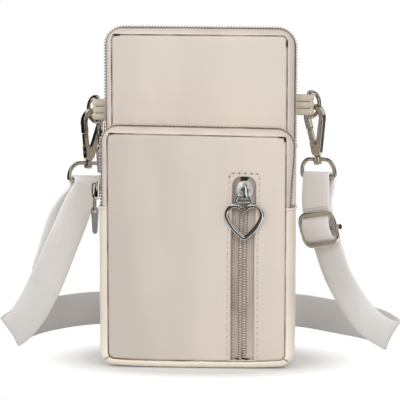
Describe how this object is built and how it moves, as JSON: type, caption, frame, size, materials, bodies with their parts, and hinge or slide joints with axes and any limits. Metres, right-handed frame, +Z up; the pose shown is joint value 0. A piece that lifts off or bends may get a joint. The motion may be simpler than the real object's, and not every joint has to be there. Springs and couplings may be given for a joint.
{
  "type": "phone pouch",
  "caption": "Crossbody phone pouch with stacked zipped compartments, a zipped front pocket with an open heart pull, and a webbing strap on swivel hooks.",
  "frame": {"origin": "on the floor under the middle of the pouch's base", "axes": "+Z up, +Y from the front pocket towards the back panel, +X to the right seen from the front"},
  "size_m": [0.2281, 0.1308, 0.1836],
  "materials": {
    "band": "soft elastic band",
    "beige_nylon": "smooth woven nylon",
    "cream_nylon": "smooth woven nylon",
    "dark_nickel": "polished gunmetal nickel plate",
    "lining_cloth": "thin plain lining",
    "silver_metal": "polished nickel plate",
    "tab_cloth": "ribbed tape",
    "webbing": "smooth polyester webbing",
    "zip_coil": "moulded nylon coil",
    "zip_tape": "ribbed zip tape"
  },
  "bodies": {
    "pouch": {"front_panel": "beige_nylon", "front_gusset": "cream_nylon", "front_zip_back_tape": "zip_tape", "front_zip_back_coil": "zip_coil", "front_zip_side_tapes": "zip_tape", "front_zip_side_coils": "zip_coil", "front_lining": "lining_cloth", "divider_panel": "beige_nylon", "rear_gusset": "cream_nylon", "back_panel": "beige_nylon", "rear_zip_back_tape": "zip_tape", "rear_zip_back_coil": "zip_coil", "rear_zip_side_tapes": "zip_tape", "rear_zip_side_coils": "zip_coil", "rear_lining": "lining_cloth", "pocket_bag": "lining_cloth", "pocket_tape_left": "zip_tape", "pocket_tape_right": "zip_tape", "pocket_coil_left": "zip_coil", "pocket_coil_right": "zip_coil", "left_tab": "tab_cloth", "right_tab": "tab_cloth", "strap_left_run": "webbing", "strap_left_tail": "webbing", "strap_hank": "webbing", "hank_tie": "band", "strap_right_run": "webbing", "strap_right_top": "webbing"},
    "front_lip": {"front_lip_panel": "beige_nylon", "front_lip_tape": "zip_tape", "front_lip_coil": "zip_coil"},
    "rear_lip": {"rear_lip_panel": "beige_nylon", "rear_lip_tape": "zip_tape", "rear_lip_coil": "zip_coil"},
    "pocket_slider": {"pocket_slider": "silver_metal"},
    "pocket_pull": {"pocket_pull_bail": "silver_metal", "heart_pull": "silver_metal"},
    "front_slider": {"front_slider": "silver_metal"},
    "front_pull": {"front_pull_link": "silver_metal", "front_pull_tab": "silver_metal"},
    "rear_slider": {"rear_slider": "silver_metal"},
    "rear_pull": {"rear_pull_link": "silver_metal", "rear_pull_tab": "silver_metal"},
    "left_ring": {"left_ring": "dark_nickel"},
    "left_hook": {"left_hook": "dark_nickel", "left_gate_pin": "dark_nickel", "left_gate_spring": "dark_nickel"},
    "left_gate": {"left_gate": "dark_nickel"},
    "left_loop": {"left_strap_loop": "dark_nickel"},
    "right_ring": {"right_ring": "dark_nickel"},
    "right_hook": {"right_hook": "dark_nickel", "right_gate_pin": "dark_nickel", "right_gate_spring": "dark_nickel"},
    "right_gate": {"right_gate": "dark_nickel"},
    "right_loop": {"right_strap_loop": "dark_nickel"},
    "adjuster": {"adjuster_frame": "dark_nickel", "adjuster_bar": "dark_nickel", "strap_bar_bulge": "webbing"}
  },
  "joints": [
    {"name": "front_lip_fold", "type": "hinge", "parent": "pouch", "child": "front_lip", "pos_m": [0, -0.0253, 0.108], "axis": [1, 0, 0], "range_deg": [0, 75]},
    {"name": "rear_lip_fold", "type": "hinge", "parent": "pouch", "child": "rear_lip", "pos_m": [0, -0.0013, 0.133], "axis": [1, 0, 0], "range_deg": [0, 75]},
    {"name": "pocket_zip", "type": "slide", "parent": "pouch", "child": "pocket_slider", "axis": [0, 0, 1], "range_m": [-0.066, 0]},
    {"name": "pocket_pull_swing", "type": "hinge", "parent": "pocket_slider", "child": "pocket_pull", "pos_m": [0.0246, -0.02735, 0.0945], "axis": [0.9063, 0.4226, 0], "range_deg": [-130, 0]},
    {"name": "front_zip", "type": "slide", "parent": "pouch", "child": "front_slider", "axis": [0, 0, -1], "range_m": [-0.007, 0]},
    {"name": "front_pull_swing", "type": "hinge", "parent": "front_slider", "child": "front_pull", "pos_m": [-0.0557, -0.013, 0.0928], "axis": [0, 1, 0], "range_deg": [0, 75]},
    {"name": "rear_zip", "type": "slide", "parent": "pouch", "child": "rear_slider", "axis": [0, 0, -1], "range_m": [-0.014, 0]},
    {"name": "rear_pull_swing", "type": "hinge", "parent": "rear_slider", "child": "rear_pull", "pos_m": [-0.0557, 0.011, 0.1234], "axis": [0, 1, 0], "range_deg": [0, 60]},
    {"name": "left_ring_swing", "type": "hinge", "parent": "pouch", "child": "left_ring", "pos_m": [-0.0577, 0.0186, 0.137], "axis": [0, 0, 1], "range_deg": [-20, 20], "deforming": ["strap_left_run", "strap_left_tail"]},
    {"name": "left_hook_turn", "type": "hinge", "parent": "left_ring", "child": "left_hook", "pos_m": [-0.06331, 0.02192, 0.10916], "axis": [0.1045, 0, 0.9945], "range_deg": [-14, 14]},
    {"name": "left_loop_swivel", "type": "hinge", "parent": "left_hook", "child": "left_loop", "pos_m": [-0.06331, 0.02192, 0.10916], "axis": [0.1045, 0, 0.9945], "range_deg": [-45, 45]},
    {"name": "left_gate_press", "type": "hinge", "parent": "left_hook", "child": "left_gate", "pos_m": [-0.06424, 0.02051, 0.11388], "axis": [-0.7032, 0.7071, 0.0739], "range_deg": [0, 25], "stiffness_Nm_per_rad": 0.01, "deforming": ["left_gate_spring"]},
    {"name": "right_ring_swing", "type": "hinge", "parent": "pouch", "child": "right_ring", "pos_m": [0.0594, 0.0186, 0.14], "axis": [0, 0, 1], "range_deg": [-20, 20], "deforming": ["strap_right_run", "strap_right_top"]},
    {"name": "right_hook_turn", "type": "hinge", "parent": "right_ring", "child": "right_hook", "pos_m": [0.06425, 0.02192, 0.11209], "axis": [-0.0698, 0, 0.9976], "range_deg": [-14, 14]},
    {"name": "right_loop_swivel", "type": "hinge", "parent": "right_hook", "child": "right_loop", "pos_m": [0.06425, 0.02192, 0.11209], "axis": [-0.0698, 0, 0.9976], "range_deg": [-45, 45]},
    {"name": "right_gate_press", "type": "hinge", "parent": "right_hook", "child": "right_gate", "pos_m": [0.06252, 0.02334, 0.11658], "axis": [0.7054, 0.7071, 0.0493], "range_deg": [0, 25], "stiffness_Nm_per_rad": 0.01, "deforming": ["right_gate_spring"]},
    {"name": "adjuster_slide", "type": "slide", "parent": "pouch", "child": "adjuster", "axis": [0.2555, 0.0069, -0.9668], "range_m": [0, 0.012]}
  ],
  "couplings": [
    {"joint": "left_loop_swivel", "follows": "left_hook_turn", "ratio": -1},
    {"joint": "right_loop_swivel", "follows": "right_hook_turn", "ratio": -1}
  ]
}
